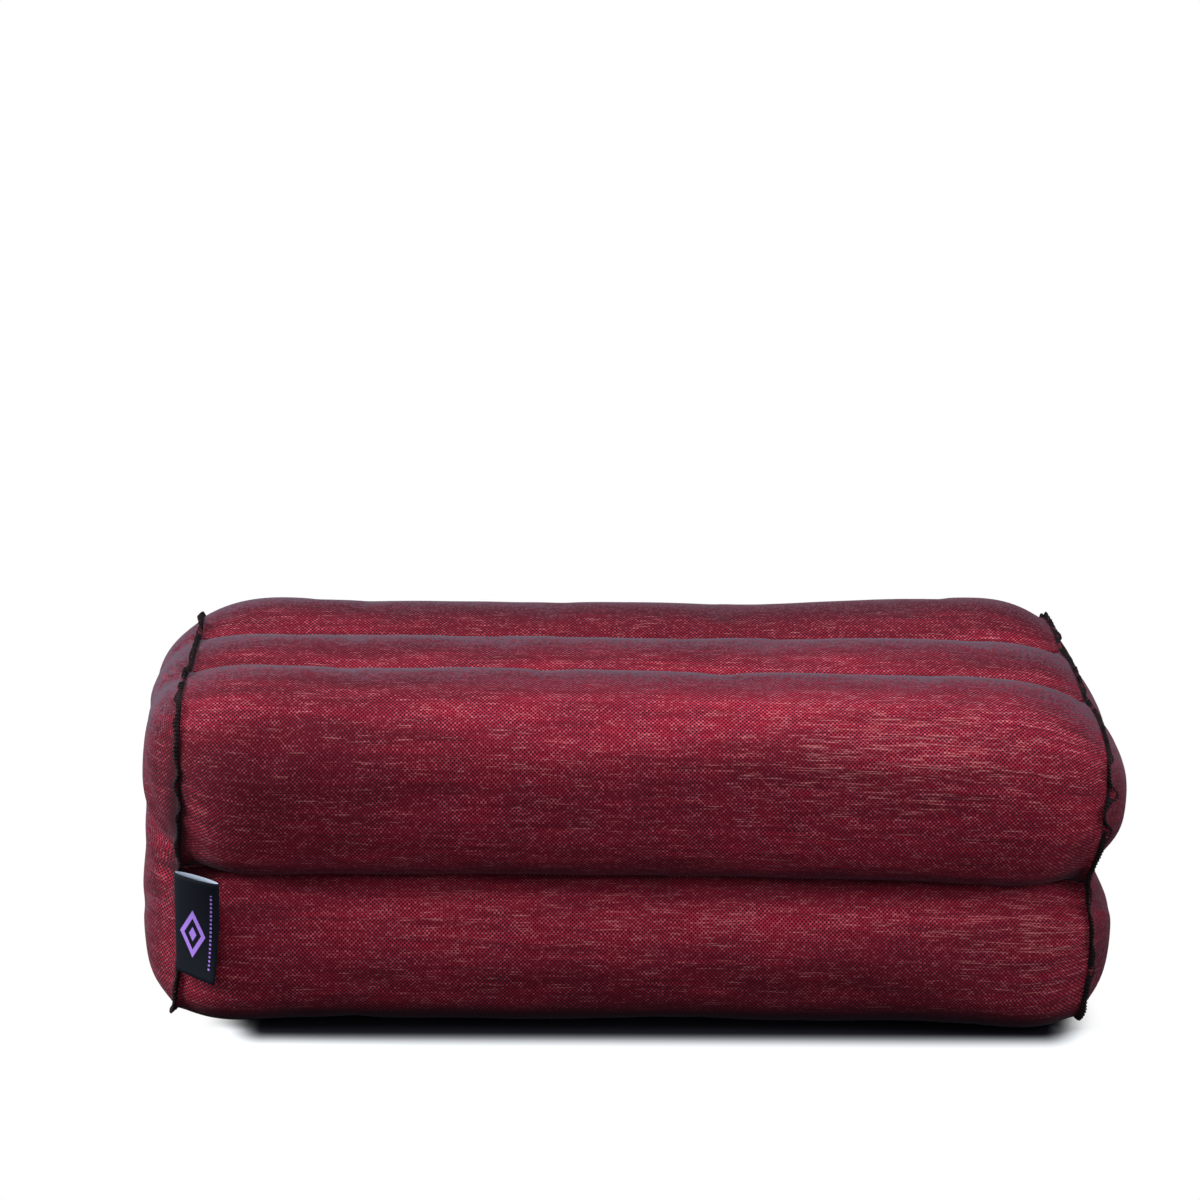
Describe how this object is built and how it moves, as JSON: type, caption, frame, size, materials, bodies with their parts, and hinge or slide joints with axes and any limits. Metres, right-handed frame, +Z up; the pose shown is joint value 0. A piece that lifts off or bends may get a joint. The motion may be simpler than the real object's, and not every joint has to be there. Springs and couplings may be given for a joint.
{
  "type": "floor cushion",
  "caption": "Firm block-shaped yoga floor cushion, stuffed in lengthwise chambers in two layers, with overlocked end seams and a folded side label",
  "frame": {"origin": "on the floor, under the middle of the cushion's bounding box", "axes": "+X along the length, towards the end away from the label; -Y out of the face that carries the label; +Z up"},
  "size_m": [0.3852, 0.2094, 0.1325],
  "materials": {
    "cover_cloth": "matte",
    "overlock_thread": "matte",
    "seam_thread": "matte",
    "wall_cloth": "matte",
    "kapok": "matte",
    "label_ribbon": "satin"
  },
  "bodies": {
    "cushion": {"cover_upper_front": "cover_cloth", "cover_upper_middle": "cover_cloth", "cover_upper_back": "cover_cloth", "cover_lower_front": "cover_cloth", "cover_lower_middle": "cover_cloth", "cover_lower_back": "cover_cloth", "end_panel_left": "cover_cloth", "end_panel_right": "cover_cloth", "overlock_left": "overlock_thread", "overlock_right": "overlock_thread", "seam_thread_top_front": "seam_thread", "seam_thread_top_back": "seam_thread", "seam_thread_front": "seam_thread", "seam_thread_back": "seam_thread", "seam_thread_bottom_front": "seam_thread", "seam_thread_bottom_back": "seam_thread", "inner_wall_level": "wall_cloth", "inner_wall_top_front": "wall_cloth", "inner_wall_top_back": "wall_cloth", "inner_wall_bottom_front": "wall_cloth", "inner_wall_bottom_back": "wall_cloth", "kapok_upper_front": "kapok", "kapok_upper_middle": "kapok", "kapok_upper_back": "kapok", "kapok_lower_front": "kapok", "kapok_lower_middle": "kapok", "kapok_lower_back": "kapok"},
    "label": {"side_label": "label_ribbon"}
  },
  "joints": [
    {"name": "label_swing", "type": "hinge", "parent": "cushion", "child": "label", "pos_m": [-0.1722, -0.0922, 0.04], "axis": [0, 0, -1], "range_deg": [0, 150]}
  ]
}
